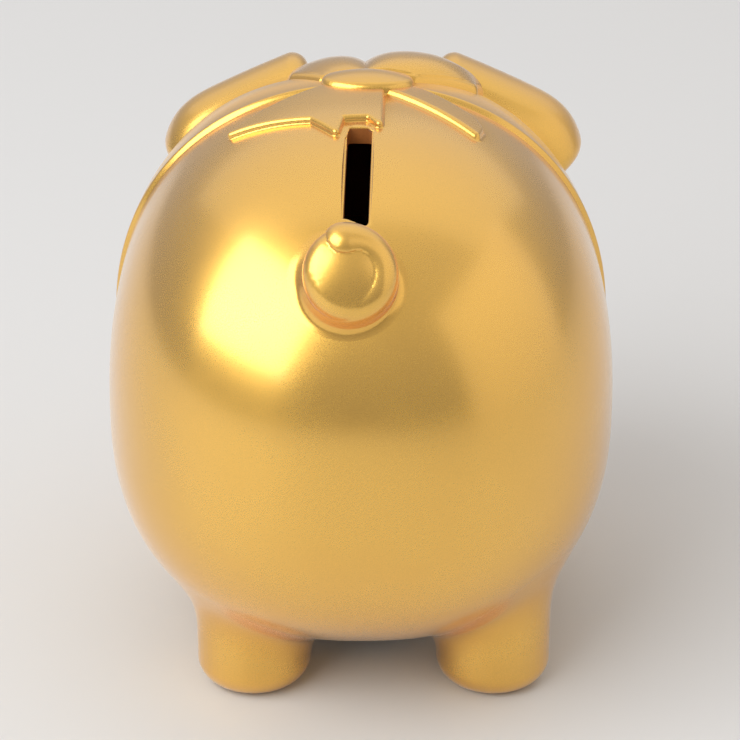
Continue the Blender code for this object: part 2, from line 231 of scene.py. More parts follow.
def body_inputs(grown=0.0):
    """The body's sizes as values for a recipe's inputs, with every half size grown by this much."""
    return {
        "Centre": CENTRE,
        "Half sizes": Vector((HALF_WIDTH + grown, HALF_LENGTH + grown, RISE + grown)),
        "Drop": DROP + grown,
        "Fullness": FULLNESS,
    }


def take_body(recipe):
    """Adds the body's sizes to a recipe's inputs, ready to hand on to the egg rule."""
    kinds = {"Centre": "Vector", "Half sizes": "Vector", "Drop": "Float", "Fullness": "Float"}
    return {name: recipe.take(name, kind) for name, kind in kinds.items()}


print("egg rule:", len(EGG.tree.nodes), "nodes")

# %% [markdown]
# ## The cast body
#
# A ball made of rings pinches at its poles, and glossy paint shows that at once. Here a finely gridded cube
# is pushed out to the egg instead, so all of its faces are of nearly one size. Taking the tangent of each
# coordinate first evens the grid out.

# %% Blow the cube up to the egg
def blown_cube():
    recipe = Recipe("Blown cube")
    divisions = recipe.take("Divisions", "Int")
    material = recipe.take("Material", "Material")
    sizes = take_body(recipe)
    cube = recipe.add("GeometryNodeMeshCube", {0: (2, 2, 2), 1: divisions, 2: divisions, 3: divisions})
    position = recipe.add("GeometryNodeInputPosition", {}).outputs[0]
    evened = recipe.vector("TANGENT", recipe.scaled(position, math.pi / 4))
    place = recipe.vector("ADD", evened, sizes["Centre"])
    surface = recipe.group(EGG, {"Place": place, **sizes})["On surface"]
    moved = recipe.add("GeometryNodeSetPosition", {0: cube.outputs[0], "Position": surface}).outputs[0]
    smooth = recipe.add("GeometryNodeSetShadeSmooth", {0: moved}).outputs[0]
    real = recipe.add("GeometryNodeRealizeInstances", {0: smooth}).outputs[0]
    painted = recipe.add("GeometryNodeSetMaterial", {0: real, "Material": material}).outputs[0]
    recipe.give("Geometry", painted, "Geometry")
    return recipe


BLOWN_CUBE = blown_cube()
BODY_DIVISIONS = 111
ROOM_DIVISIONS = 41

# %% [markdown]
# ## Paint and rubber
#
# The paint is satin gold: fine mica flakes in a clear binder. From close by the flakes make a faint grain
# and a sparkle, and from further off the spray coat is a little uneven. Where two bits of clay meet, the
# paint runs together and dries glossier, and the colour there is darkened, partly as deeper pooled paint and
# partly as painted shade in the crease. One shader group works the grain, the unevenness and that darkening
# out, and each material gives it its own strengths. Shaders stay in the material, so the group hands over
# only colours and numbers.

# %% A recipe for shader groups
def shader_group(name, takes, gives):
    """An empty shader node group with named inputs (and their usual values) and outputs."""
    group = bpy.data.node_groups.new(name, "ShaderNodeTree")
    for label, (kind, value) in takes.items():
        socket = group.interface.new_socket(label, in_out="INPUT", socket_type="NodeSocket" + kind)
        socket.default_value = value
    for label, kind in gives.items():
        group.interface.new_socket(label, in_out="OUTPUT", socket_type="NodeSocket" + kind)
    return group, group.nodes.new("NodeGroupInput").outputs, group.nodes.new("NodeGroupOutput").inputs


def shader_node(tree, kind, feeds=(), **options):
    """Adds a shader node, sets its options and feeds its inputs."""
    node = tree.nodes.new(kind)
    for option, choice in options.items():
        setattr(node, option, choice)
    for key, source in dict(feeds).items():
        if isinstance(source, bpy.types.NodeSocket):
            tree.links.new(source, node.inputs[key])
        else:
            node.inputs[key].default_value = source
    return node


def noise_at(tree, place, scale, detail=2.0):
    """Noise over object coordinates: scale is how many of its lumps fit in a metre."""
    feeds = {"Vector": place, "Scale": scale, "Detail": detail, "Roughness": 0.55}
    return shader_node(tree, "ShaderNodeTexNoise", feeds).outputs["Fac"]


def math_node(tree, operation, *sources, clamp=False):
    node = shader_node(tree, "ShaderNodeMath", enumerate(sources), operation=operation, use_clamp=clamp)
    return node.outputs[0]


# %% The sprayed coat, as a group
CLOUDS_PER_METRE = 38
FLAKES_PER_METRE = 5200
FINE_GRAIN_PER_METRE = 2300
POOL_AND_CREASE_SHADE_DEPTH = 0.4
POOLED_GLOSS = 0.06


def sprayed_coat():
    takes = {
        "Place": ("Vector", (0, 0, 0)),
        "Colour": ("Color", (1, 1, 1, 1)),
        "Deep colour": ("Color", (1, 1, 1, 1)),
        "Roughness": ("Float", 0.3),
        "Cloudiness": ("Float", 0.1),
        "Grain": ("Float", 0.1),
        "Wobble": ("Float", 0.0),
        "Pool and crease shade": ("Float", 0.0),
    }
    gives = {"Colour": "Color", "Roughness": "Float", "Height": "Float"}
    group, given, result = shader_group("Sprayed coat", takes, gives)

    cloud = noise_at(group, given["Place"], CLOUDS_PER_METRE, 3)
    flake = noise_at(group, given["Place"], FLAKES_PER_METRE, 1)
    fine = noise_at(group, given["Place"], FINE_GRAIN_PER_METRE, 2)
    cloud_swing = math_node(group, "MULTIPLY", math_node(group, "SUBTRACT", cloud, 0.5), given["Cloudiness"])
    grain_swing = math_node(group, "MULTIPLY", math_node(group, "SUBTRACT", flake, 0.5), given["Grain"])

    # The colour at the joints is darkened: partly deeper pooled paint, partly painted shade in the crease.
    pool_and_crease_shade_depth = math_node(group, "MULTIPLY", given["Pool and crease shade"], POOL_AND_CREASE_SHADE_DEPTH)
    depth = math_node(group, "ADD", pool_and_crease_shade_depth, cloud_swing, clamp=True)
    mixed = shader_node(
        group, "ShaderNodeMix", {"Factor": depth, "A": given["Colour"], "B": given["Deep colour"]},
        data_type="RGBA",
    )
    brightness = math_node(group, "ADD", 1.0, math_node(group, "MULTIPLY", grain_swing, 1.6))
    lit = shader_node(group, "ShaderNodeVectorMath", operation="SCALE")
    group.links.new(mixed.outputs["Result"], lit.inputs[0])
    group.links.new(brightness, lit.inputs["Scale"])
    group.links.new(lit.outputs[0], result["Colour"])

    rougher = math_node(group, "ADD", given["Roughness"], math_node(group, "MULTIPLY", grain_swing, 0.5))
    uneven = math_node(group, "ADD", rougher, math_node(group, "MULTIPLY", cloud_swing, 0.6))
    pooled_gloss = math_node(group, "MULTIPLY", given["Pool and crease shade"], POOLED_GLOSS)
    glossier = math_node(group, "SUBTRACT", uneven, pooled_gloss)
    group.links.new(glossier, result["Roughness"])
    waves = math_node(group, "MULTIPLY", cloud, given["Wobble"])
    group.links.new(math_node(group, "ADD", math_node(group, "ADD", flake, fine), waves), result["Height"])
    return group


SPRAYED_COAT = sprayed_coat()


# %% [markdown]
# ## The materials themselves
#
# Gold paint is a metal to the light: its reflections are gold, and they turn pale only at a glancing angle.
# The clear binder on top adds a thin white gloss, which is the coat. Inside the slot there is no paint, only
# bare clay that was fired; its colour is made dark brown, partly the clay's own and partly painted shade on
# the slot's walls and inside the body. The stopper is plain soft rubber, dull and a little dusty.

# %% Gold paint, fired clay and rubber
def new_material(name):
    """A material with a Principled shader and nothing else, and its tree, shader and object coordinates."""
    material = bpy.data.materials.new(name)
    material.use_nodes = True
    tree = material.node_tree
    shader = tree.nodes["Principled BSDF"]
    place = tree.nodes.new("ShaderNodeTexCoord").outputs["Object"]
    return material, tree, shader, place


def coat_on(tree, shader, place, bump, values, pooled_paint_and_crease_shade=None):
    """Feeds a shader's colour, roughness and normal from the sprayed coat."""
    coat = tree.nodes.new("ShaderNodeGroup")
    coat.node_tree = SPRAYED_COAT
    tree.links.new(place, coat.inputs["Place"])
    for name, value in values.items():
        coat.inputs[name].default_value = value
    if pooled_paint_and_crease_shade:
        tree.links.new(pooled_paint_and_crease_shade, coat.inputs["Pool and crease shade"])
    tree.links.new(coat.outputs["Colour"], shader.inputs["Base Color"])
    tree.links.new(coat.outputs["Roughness"], shader.inputs["Roughness"])
    relief = shader_node(
        tree, "ShaderNodeBump", {"Height": coat.outputs["Height"], "Strength": 1.0, "Distance": bump}
    )
    tree.links.new(relief.outputs["Normal"], shader.inputs["Normal"])


def gold_paint():
    material, tree, shader, place = new_material("satin gold paint")
    # The joint attribute deepens the colour in the creases: partly pooled paint, partly painted shade.
    pooled_paint_and_crease_shade = shader_node(tree, "ShaderNodeAttribute", attribute_name="pooled_paint_and_crease_shade").outputs["Fac"]
    values = {
        "Colour": (0.85, 0.49, 0.078, 1),
        "Deep colour": (0.76, 0.37, 0.04, 1),
        "Roughness": 0.28,
        "Cloudiness": 0.35,
        "Grain": 0.18,
        "Wobble": 20.0,
    }
    coat_on(tree, shader, place, 0.002 * MM, values, pooled_paint_and_crease_shade)
    shader.inputs["Metallic"].default_value = 1.0
    shader.inputs["Specular Tint"].default_value = (1.0, 0.82, 0.58, 1)
    shader.inputs["Sheen Weight"].default_value = 0.2
    shader.inputs["Sheen Roughness"].default_value = 0.6
    shader.inputs["Sheen Tint"].default_value = (1.0, 0.93, 0.85, 1)
    shader.inputs["Coat Weight"].default_value = 1.0
    shader.inputs["Coat Roughness"].default_value = 0.17
    return material


# Bare clay for the slot's walls and the inside of the body: its dark brown is partly its own colour, partly
# painted shade.
def fired_clay_and_slot_shade():
    material, tree, shader, place = new_material("fired clay")
    values = {
        "Colour": (0.32, 0.105, 0.016, 1),
        "Deep colour": (0.20, 0.06, 0.01, 1),
        "Roughness": 0.62,
        "Cloudiness": 0.9,
        "Grain": 0.25,
    }
    coat_on(tree, shader, place, 0.02 * MM, values)
    return material


def soft_rubber():
    material, tree, shader, place = new_material("soft rubber")
    values = {
        "Colour": (0.36, 0.34, 0.31, 1),
        "Deep colour": (0.27, 0.25, 0.23, 1),
        "Roughness": 0.58,
        "Cloudiness": 0.8,
        "Grain": 0.15,
    }
    coat_on(tree, shader, place, 0.01 * MM, values)
    shader.inputs["Sheen Weight"].default_value = 0.15
    return material


GOLD, CLAY_AND_SLOT_SHADE, RUBBER = gold_paint(), fired_clay_and_slot_shade(), soft_rubber()
print("materials:", GOLD.name, "/", CLAY_AND_SLOT_SHADE.name, "/", RUBBER.name)


def hand_over(piece, material, slot, *nodes, body="bank"):
    """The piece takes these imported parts' place, rides on their body and has this finish."""
    if not piece.data.materials:
        piece.data.materials.append(material)
    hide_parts(*nodes)
    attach(piece, body)
    print(piece.name, "has", len(piece.data.polygons), "faces and stands for", ", ".join(nodes))


# %% [markdown]
# ## Cutting the slot and the belly hole
#
# The slot is cut through the soft clay with a knife, and its edge is wiped round with a sponge. A cutter
# that flares where it leaves the clay makes that rounded edge in the same cut. Each of its rings follows
# the curve of the back, so the rounding is the same depth all along. The hole in the belly has a flat seat
# for the stopper's flange.

# %% Cutters
def loft(rings, materials, second_from=None):
    """A closed mesh through rings of points. From one ring on, it may have the second material."""
    shape = bmesh.new()
    loops = [[shape.verts.new(point) for point in ring] for ring in rings]
    count = len(rings[0])
    for level, (here, there) in enumerate(zip(loops, loops[1:])):
        for i in range(count):
            j = (i + 1) % count
            face = shape.faces.new((here[i], here[j], there[j], there[i]))
            face.material_index = int(second_from is not None and level >= second_from)
    shape.faces.new(loops[0])
    shape.faces.new(loops[-1])
    bmesh.ops.recalc_face_normals(shape, faces=shape.faces)
    for face in shape.faces:
        face.smooth = True
    mesh = bpy.data.meshes.new("loft")
    shape.to_mesh(mesh)
    shape.free()
    for material in materials:
        mesh.materials.append(material)
    return mesh


def take_away(piece, mesh):
    """Cuts a closed mesh out of a piece. The cut faces keep the cutter's material."""
    cutter = as_piece("cutter", mesh)
    modifier = piece.modifiers.new("cut", "BOOLEAN")
    modifier.operation = "DIFFERENCE"
    modifier.solver = "MANIFOLD"
    modifier.material_mode = "TRANSFER"
    modifier.object = cutter
    evaluated = piece.evaluated_get(bpy.context.evaluated_depsgraph_get())
    cut = bpy.data.meshes.new_from_object(evaluated)
    piece.modifiers.remove(modifier)
    piece.data = cut
    bpy.data.objects.remove(cutter)


def rounded_slot(half_width, half_length, corner, steps=5):
    """The outline of a slot with slightly rounded corners, anticlockwise, from its middle."""
    outline = []
    for quarter in range(4):
        across = 1 if quarter in (0, 3) else -1
        along = 1 if quarter < 2 else -1
        middle = Vector((across * (half_width - corner), along * (half_length - corner)))
        for i in range(steps + 1):
            turn = math.pi / 2 * (quarter + i / steps)
            outline.append(middle + Vector((math.cos(turn), math.sin(turn))) * corner)
    return outline


SLOT_CORNER = 0.8 * MM
SLOT_EDGE = 0.28 * MM


def slot_rings(middle, half_length, half_width, lean, edge):
    """Rings from high over the back, round the wiped edge, and straight down into the coin room."""
    above = [(edge * 3, 3 * MM), (edge * 1.3, 0.1 * MM)]
    turns = [math.pi / 2 * i / 5 for i in range(1, 6)]
    wiped = [(edge * (1 - math.sin(t)), -edge * (1 - math.cos(t))) for t in turns]
    rings = []
    for wider, raised in above + wiped + [(0.0, -2.5 * WALL)]:
        ring = []
        for point in rounded_slot(half_width + wider, half_length + wider, SLOT_CORNER + wider):
            x, y = middle.x + point.x + lean * point.y, middle.y + point.y
            ring.append(over_back(x, y) + Vector((0, 0, raised)))
        rings.append(ring)
    return rings


# %% The belly hole's cutter
stopper_low, stopper_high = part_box("belly_stopper")
CREASE = math.radians(40)
HOLE = Vector(((stopper_low[0] + stopper_high[0]) / 2, (stopper_low[1] + stopper_high[1]) / 2, 0))
FLANGE_RADIUS = (stopper_high[0] - stopper_low[0]) / 2
SEAT_GAP = 0.6 * MM
SEAT_SOFTENING = 0.5 * MM
SEAT_HEIGHT = 8.6 * MM
HOLE_RADIUS = 15.0 * MM


def turned(profile, centre, sides=128):
    """Rings of a shape turned on a vertical axis. The profile holds (radius, height)."""
    angles = [math.tau * i / sides for i in range(sides)]
    return [
        [centre + Vector((radius * math.cos(a), radius * math.sin(a), height)) for a in angles]
        for radius, height in profile
    ]


def hole_profile():
    seat = FLANGE_RADIUS + SEAT_GAP
    soft = SEAT_SOFTENING
    return [
        (seat, -1 * MM),
        (seat, SEAT_HEIGHT - soft),
        (seat - soft, SEAT_HEIGHT),
        (HOLE_RADIUS + soft, SEAT_HEIGHT),
        (HOLE_RADIUS, SEAT_HEIGHT + soft),
        (HOLE_RADIUS, SEAT_HEIGHT + 5 * WALL),
    ]


# %% Cast the body and cut it
def hollow_body():
    painted = {"Divisions": BODY_DIVISIONS, "Material": GOLD}
    bare = {"Divisions": ROOM_DIVISIONS, "Material": CLAY_AND_SLOT_SHADE}
    outer = follow(BLOWN_CUBE, "gold_body", {**body_inputs(), **painted})
    room = follow(BLOWN_CUBE, "room", {**body_inputs(-WALL), **bare})
    take_away(outer, room.data)
    bpy.data.objects.remove(room)
    return outer


slot_box = next(o for o in frame["record"]["physics"]["openings"] if o["name"] == "coin_slot")["box_m"]
SLOT_HALF_WIDTH = (slot_box[1][0] - slot_box[0][0]) / 2 + 0.1 * MM
SLOT_HALF_LENGTH = (slot_box[1][1] - slot_box[0][1]) / 2 + 0.3 * MM
SLOT_MIDDLE = Vector((0.6 * MM, (slot_box[0][1] + slot_box[1][1]) / 2 - CENTRE.y))
SLOT_LEAN = 0.03

body = hollow_body()
rings = slot_rings(SLOT_MIDDLE, SLOT_HALF_LENGTH, SLOT_HALF_WIDTH, SLOT_LEAN, SLOT_EDGE)
# Below the wiped edge the slot's walls take the darkened bare clay, which partly paints the shade in the
# slot.
take_away(body, loft(rings, [GOLD, CLAY_AND_SLOT_SHADE], second_from=len(rings) - 2))
take_away(body, loft(turned(hole_profile(), HOLE), [CLAY_AND_SLOT_SHADE]))
body.data.set_sharp_from_angle(angle=CREASE)
hand_over(body, GOLD, "gold_ceramic", "body_shell")

# %% [markdown]
# ## Pressing clay on clay
#
# A foot or an ear doesn't just touch the body. The potter scores both, wets them with slip and smooths the
# joint with a thumb, which leaves a soft hollow all round. Modelling that by hand is hard, and a bevel over
# a cut edge rarely works on a curved body. A distance field does it well. Each piece starts as a core, a
# thin sheet that knows how thick the clay is around it. For every place nearby the nodes work out how far it
# is outside the clay and how far it is outside the body, and take a smooth minimum of the two. The surface
# where that is zero is the piece, already blended in. It ends a hair below the body's paint, so no seam
# shows. Last, each point slides along its normal to the exact zero, at most half a grid step at a time,
# which removes the grid's marks.

# %% The distance from pressed clay
SEAM = 0.05 * MM
SLIDES = 2
SPARE_ROOM = 1.5 * MM
USUAL_VOXEL = 0.4 * MM
RIBBON_VOXEL = 0.27 * MM


def clay_rule():
    recipe = Recipe("Clay rule")
    core = recipe.take("Core", "Geometry")
    place = recipe.take("Place", "Vector")
    blend = recipe.take("Blend")
    sizes = take_body(recipe)
    near = recipe.add("GeometryNodeProximity", {0: core, "Sample Position": place}, target_element="FACES")
    thickness = recipe.add("GeometryNodeInputNamedAttribute", {0: "thickness"}, data_type="FLOAT").outputs[0]
    clay_here = recipe.add(
        "GeometryNodeSampleNearestSurface", {0: core, "Value": thickness, "Sample Position": place},
        data_type="FLOAT",
    ).outputs[0]
    off_clay = recipe.math("SUBTRACT", near.outputs["Distance"], clay_here)
    off_body = recipe.math("ADD", recipe.group(EGG, {"Place": place, **sizes})["Outside"], SEAM)
    joined = recipe.math("SMOOTH_MIN", off_clay, off_body, blend)
    too_far = recipe.math("SUBTRACT", recipe.math("SUBTRACT", off_clay, blend), 0.5 * MM)
    apart = recipe.math("ABSOLUTE", recipe.math("SUBTRACT", off_clay, off_body))
    recipe.give("Distance", recipe.math("MAXIMUM", joined, too_far))
    # How near a place is to the crease of clay and body: it drives pooled paint and painted crease shade.
    recipe.give("Pool and crease shade", recipe.math("SUBTRACT", 1.0, recipe.math("DIVIDE", apart, blend)))
    return recipe


CLAY_RULE = clay_rule()


def pressed_clay():
    recipe = Recipe("Pressed clay")
    core = recipe.take("Core", "Geometry")
    low, high = recipe.take("Low", "Vector"), recipe.take("High", "Vector")
    counts = [recipe.take("Voxels " + axis, "Int") for axis in "XYZ"]
    voxel, blend = recipe.take("Voxel"), recipe.take("Blend")
    material = recipe.take("Material", "Material")
    sizes = take_body(recipe)
    position = recipe.add("GeometryNodeInputPosition", {}).outputs[0]

    def rule():
        return recipe.group(CLAY_RULE, {"Core": core, "Place": position, "Blend": blend, **sizes})

    density = recipe.math("SUBTRACT", 0.5, recipe.math("DIVIDE", rule()["Distance"], voxel))
    volume = recipe.add(
        "GeometryNodeVolumeCube",
        {"Density": density, "Background": -10.0, "Min": low, "Max": high,
         "Resolution X": counts[0], "Resolution Y": counts[1], "Resolution Z": counts[2]},
    )
    shape = recipe.add("GeometryNodeVolumeToMesh", {0: volume.outputs[0], "Threshold": 0.5}).outputs[0]
    most = recipe.math("MULTIPLY", voxel, 0.5)
    least = recipe.math("MULTIPLY", voxel, -0.5)
    for _ in range(SLIDES):
        normal = recipe.add("GeometryNodeInputNormal", {}).outputs[0]
        step = recipe.math("MAXIMUM", recipe.math("MINIMUM", rule()["Distance"], most), least)
        slide = recipe.scaled(normal, recipe.math("MULTIPLY", step, -1.0))
        shape = recipe.add("GeometryNodeSetPosition", {0: shape, "Offset": slide}).outputs[0]
    # Stores each point's nearness to the joint, for pooled paint and painted crease shade.
    shape = recipe.add(
        "GeometryNodeStoreNamedAttribute", {0: shape, "Name": "pooled_paint_and_crease_shade", "Value": rule()["Pool and crease shade"]},
        data_type="FLOAT", domain="POINT",
    ).outputs[0]
    smooth = recipe.add("GeometryNodeSetShadeSmooth", {0: shape}).outputs[0]
    real = recipe.add("GeometryNodeRealizeInstances", {0: smooth}).outputs[0]
    painted = recipe.add("GeometryNodeSetMaterial", {0: real, "Material": material}).outputs[0]
    recipe.give("Geometry", painted, "Geometry")
    return recipe


PRESSED_CLAY = pressed_clay()
print("pressed clay:", len(PRESSED_CLAY.tree.nodes), "nodes")


# %% Cores, and the call that presses clay round them
def core_mesh(sheets):
    """A core from sheets: each is a grid of (place, thickness of clay) rows."""
    mesh = bpy.data.meshes.new("core")
    places, thicknesses, faces = [], [], []
    for rows in sheets:
        start, across = len(places), len(rows[0])
        for row in rows:
            places += [place for place, _ in row]
            thicknesses += [thickness for _, thickness in row]
        for r in range(len(rows) - 1):
            for c in range(across - 1):
                i = start + r * across + c
                faces.append((i, i + 1, i + across + 1, i + across))
    mesh.from_pydata(places, [], faces)
    mesh.attributes.new("thickness", "FLOAT", "POINT").data.foreach_set("value", thicknesses)
    return mesh


def press_on(name, sheets, blend, voxel=USUAL_VOXEL):
    """Presses clay round a core's sheets and blends it into the body."""
    core = core_mesh(sheets)
    room = blend + SPARE_ROOM + max(point[1] for rows in sheets for row in rows for point in row)
    places = np.array([vert.co for vert in core.vertices])
    low, high = places.min(axis=0) - room, places.max(axis=0) + room
    counts = [int(c) for c in np.ceil((high - low) / voxel)]
    values = {
        **body_inputs(), "Low": low.tolist(), "High": high.tolist(), "Voxel": voxel, "Blend": blend,
        "Voxels X": counts[0], "Voxels Y": counts[1], "Voxels Z": counts[2], "Material": GOLD,
    }
    return follow(PRESSED_CLAY, name, values, core)


# %% [markdown]
# ## Feet
#
# Each foot is a short, round stub with a flat sole and a well rounded edge. Its core is a disc as far above
# the floor as the edge's radius, with a wall and two crossed sheets that rise from it, so that the clay is
# solid all the way up into the body.

# %% Press four feet on
FOOT_ROUNDING = 5.0 * MM
FOOT_BLEND = 8 * MM


def plug_core(outline, start, end, thickness):
    """A solid plug's core: a disc, its wall and two crossed sheets. outline(turn) is a point of its rim."""
    turns = [math.tau * i / 48 for i in range(49)]
    disc = [[(start + outline(t) * share, thickness) for t in turns] for share in (0.001, 0.5, 1.0)]
    wall = [[(level + outline(t), thickness) for t in turns] for level in (start, end)]
    crossed = []
    for turn in (0, math.pi / 2):
        rim = outline(turn)
        crossed.append([[(level + rim * side, thickness) for side in (-1, 1)] for level in (start, end)])
    return [disc, wall] + crossed


def foot(node):
    low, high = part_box(node)
    radius = (high[0] - low[0]) / 2 - FOOT_ROUNDING
    middle = Vector(((low[0] + high[0]) / 2, (low[1] + high[1]) / 2, low[2] + FOOT_ROUNDING))
    top = Vector((middle.x, middle.y, high[2] + 2 * MM))

    def rim(turn):
        return Vector((math.cos(turn), math.sin(turn), 0)) * radius

    piece = press_on("gold_" + node, plug_core(rim, middle, top, FOOT_ROUNDING), FOOT_BLEND)
    hand_over(piece, GOLD, "gold_ceramic", node)


for foot_node in ("foot_rear_left", "foot_rear_right", "foot_front_left", "foot_front_right"):
    foot(foot_node)

# %% [markdown]
# ## Snout and eyes
#
# The snout is an oval plug like a foot, pressed on facing forward, with two nostrils poked in with a round
# tool. The eyes are small beads of clay.

# %% Press the snout on and poke the nostrils
SNOUT_ROUNDING = 3.4 * MM
SNOUT_LENGTH = 9 * MM
SNOUT_BLEND = 5 * MM
NOSTRIL_SPREAD = 6.2 * MM
NOSTRIL_HALF_SIZES = (2.4 * MM, 3.8 * MM)
NOSTRIL_DEPTH = 2.6 * MM
snout_low, snout_high = [Vector(corner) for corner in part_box("snout")]
SNOUT_MIDDLE = (snout_low + snout_high) / 2


def snout():
    half = (snout_high - snout_low) / 2
    front = Vector((SNOUT_MIDDLE.x, snout_low.y + SNOUT_ROUNDING, SNOUT_MIDDLE.z))
    back = front + Vector((0, SNOUT_LENGTH, 0))

    def rim(turn):
        across, high = half.x - SNOUT_ROUNDING, half.z - SNOUT_ROUNDING
        return Vector((across * math.cos(turn), 0, high * math.sin(turn)))

    piece = press_on("gold_snout", plug_core(rim, front, back, SNOUT_ROUNDING), SNOUT_BLEND)
    poke(piece, NOSTRIL_SPREAD, *NOSTRIL_HALF_SIZES, NOSTRIL_DEPTH)
    hand_over(piece, GOLD, "gold_ceramic", "snout")


def poke(piece, spread, half_width, half_height, depth):
    """Two smooth oval dents in the snout's face."""
    for vert in piece.data.vertices:
        if vert.co.y < SNOUT_MIDDLE.y:
            across = (abs(vert.co.x - SNOUT_MIDDLE.x) - spread) / half_width
            up = (vert.co.z - SNOUT_MIDDLE.z) / half_height
            near = max(0.0, 1 - (across**2 + up**2) / 1.9)
            vert.co.y += depth * near**1.5 * 1.25


snout()


# %% Press the eyes on
EYE_SUNK = 1.2 * MM
EYE_BLEND = 1.2 * MM
EYE_VOXEL = 0.25 * MM


def eye(node):
    low, high = [Vector(corner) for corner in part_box(node)]
    middle = (low + high) / 2
    radius = (high.z - low.z) / 2
    inward = (CENTRE - middle).normalized() * EYE_SUNK
    sheet = [
        [(middle + inward + Vector((x, 0, z)) * 0.05 * MM, radius) for x in (-1, 1)] for z in (-1, 1)
    ]
    piece = press_on("gold_" + node, [sheet], EYE_BLEND, EYE_VOXEL)
    hand_over(piece, GOLD, "gold_ceramic", node)


for eye_node in ("eye_left", "eye_right"):
    eye(eye_node)

# %% [markdown]
# ## Ears
#
# Each ear is a thick flap. It rises from the head, folds forward over a round crest and hangs down the
# brow to a blunt tip. The core is a curved sheet that follows the fold, arched from side to side so that
# it wraps round the head, and the clay on it thins towards the tip.

# %% Press two ears on
EAR_ROOT = Vector((26.6, -28.5, 43.9)) * MM
EAR_SHIFT = -2.6 * MM
EAR_TILT = math.radians(26)
EAR_ALONG = Vector((math.cos(EAR_TILT), 0.0, -math.sin(EAR_TILT)))
EAR_OUT = Vector((math.sin(EAR_TILT), 0.0, math.cos(EAR_TILT)))
EAR_INNER_ARCH = 0.6 * MM
EAR_OUTER_DROOP = 9.0 * MM
EAR_BLEND = 2.6 * MM
# Outwards, forwards, half width and half thickness along the flap, in millimetres.
EAR_FOLD = np.array([
    (-6, 0.0, 13.5, 3.9), (0, 0.0, 14.8, 3.9), (3.8, 1.0, 16.2, 3.8), (6.8, 4.0, 17.3, 3.6),
    (7.6, 9.0, 17.5, 3.4), (5.9, 14.5, 16.0, 3.1), (1.6, 18.8, 12.6, 2.8), (-3.8, 21.4, 7.8, 2.4),
    (-7.0, 22.2, 4.4, 2.1),
])


def eased(table, count):
    """Rows on a smooth curve through a table's rows, evenly spread."""
    knots = np.vstack([2 * table[0] - table[1], table, 2 * table[-1] - table[-2]])
    rows = []
    for share in np.linspace(0, len(table) - 1, count):
        i = min(int(share), len(table) - 2)
        t = share - i
        before, here, there, beyond = knots[i:i + 4]
        rows.append(0.5 * (
            2 * here + (there - before) * t
            + (2 * before - 5 * here + 4 * there - beyond) * t**2
            + (3 * here - before - 3 * there + beyond) * t**3
        ))
    return np.array(rows)


def ear(node, side):
    widest = EAR_FOLD[:, 2].max() * MM
    rows = []
    for out, forward, half, thick in eased(EAR_FOLD, 60) * MM:
        row = []
        for share in np.linspace(-1, 1, 36):
            across = share * (half - thick)
            spread = across / widest
            droop = EAR_OUTER_DROOP * spread**4 if spread > 0 else EAR_INNER_ARCH * spread**2
            place = EAR_ROOT + EAR_OUT * (out - droop) + EAR_ALONG * across
            place.y -= forward
            place.x = EAR_SHIFT + side * place.x
            row.append((CENTRE + place, thick))
        rows.append(row)
    piece = press_on("gold_" + node, [rows], EAR_BLEND)
    hand_over(piece, GOLD, "gold_ceramic", node)


ear("ear_left", 1)
ear("ear_right", -1)

# %% [markdown]
# ## The curled tail
#
# The tail is a roll of clay, wound nearly once round before it is pressed on. Its core is a very narrow
# ribbon along the middle of the roll. The roll starts inside the body, winds round while it rises, and ends
# as a round knob that lies over its own root. A disc of clay inside the winding closes the pit that the
# roll would leave, and it leans so that its face looks a little down and to the right.

# %% Wind the tail
TAIL_SET_BACK = 47.3 * MM
TAIL_ASIDE = 2.1 * MM
TAIL_OUTER_RADIUS = 9.1 * MM
TAIL_TIP_REACH = 0.4 * MM
TAIL_ROOT_RADIUS = 3.7 * MM
TAIL_TIP_RADIUS = 4.2 * MM
TAIL_SUNK = 3.2 * MM
TAIL_RISE = 8.4 * MM
TAIL_TIP_LIFT = 0.6 * MM
TAIL_HEART_RADIUS = 5.2 * MM
TAIL_HEART_LEVEL = 4.3 * MM
TAIL_HEART_DOME = 0.9 * MM
TAIL_HEART_LEAN_DOWN = 0.25
TAIL_HEART_LEAN_RIGHT = 0.12
TAIL_BLEND = 4.8 * MM
TAIL_VOXEL = 0.35 * MM
TAIL_START = math.radians(126)
TAIL_SWEEP = math.radians(336)


def tail():
    root = over_back(TAIL_ASIDE, TAIL_SET_BACK)
    away = surface_normal(root - CENTRE)
    right = Vector((-1, 0, 0))
    up = right.cross(away)
    up = up if up.z > 0 else -up
    roll = []
    for share in np.linspace(0, 1, 90):
        turn = TAIL_START + TAIL_SWEEP * share
        ending = max(0.0, share - 0.7) / 0.3
        radius = TAIL_ROOT_RADIUS + (TAIL_TIP_RADIUS - TAIL_ROOT_RADIUS) * ending**2 * (3 - 2 * ending)
        lift = TAIL_RISE * share**0.7 - TAIL_SUNK + TAIL_TIP_LIFT * ending**2
        reach = TAIL_OUTER_RADIUS + TAIL_TIP_REACH * share**3 - radius
        middle = root + away * lift + (right * math.cos(turn) + up * math.sin(turn)) * reach
        roll.append([(middle - away * 0.05 * MM, radius), (middle + away * 0.05 * MM, radius)])
    lean = TAIL_HEART_LEAN_DOWN * up - TAIL_HEART_LEAN_RIGHT * right
    heart = []
    for share in np.linspace(0.02, 1, 8):
        level = root + away * (TAIL_HEART_LEVEL - TAIL_HEART_DOME * share**2)
        ring = []
        for turn in np.linspace(0, math.tau, 33):
            spoke = (right * math.cos(turn) + up * math.sin(turn)) * share * TAIL_HEART_RADIUS
            ring.append((level + spoke + away * spoke.dot(lean), TAIL_ROOT_RADIUS))
        heart.append(ring)
    piece = press_on("gold_tail", [roll, heart], TAIL_BLEND, TAIL_VOXEL)
    hand_over(piece, GOLD, "gold_ceramic", "curly_tail")


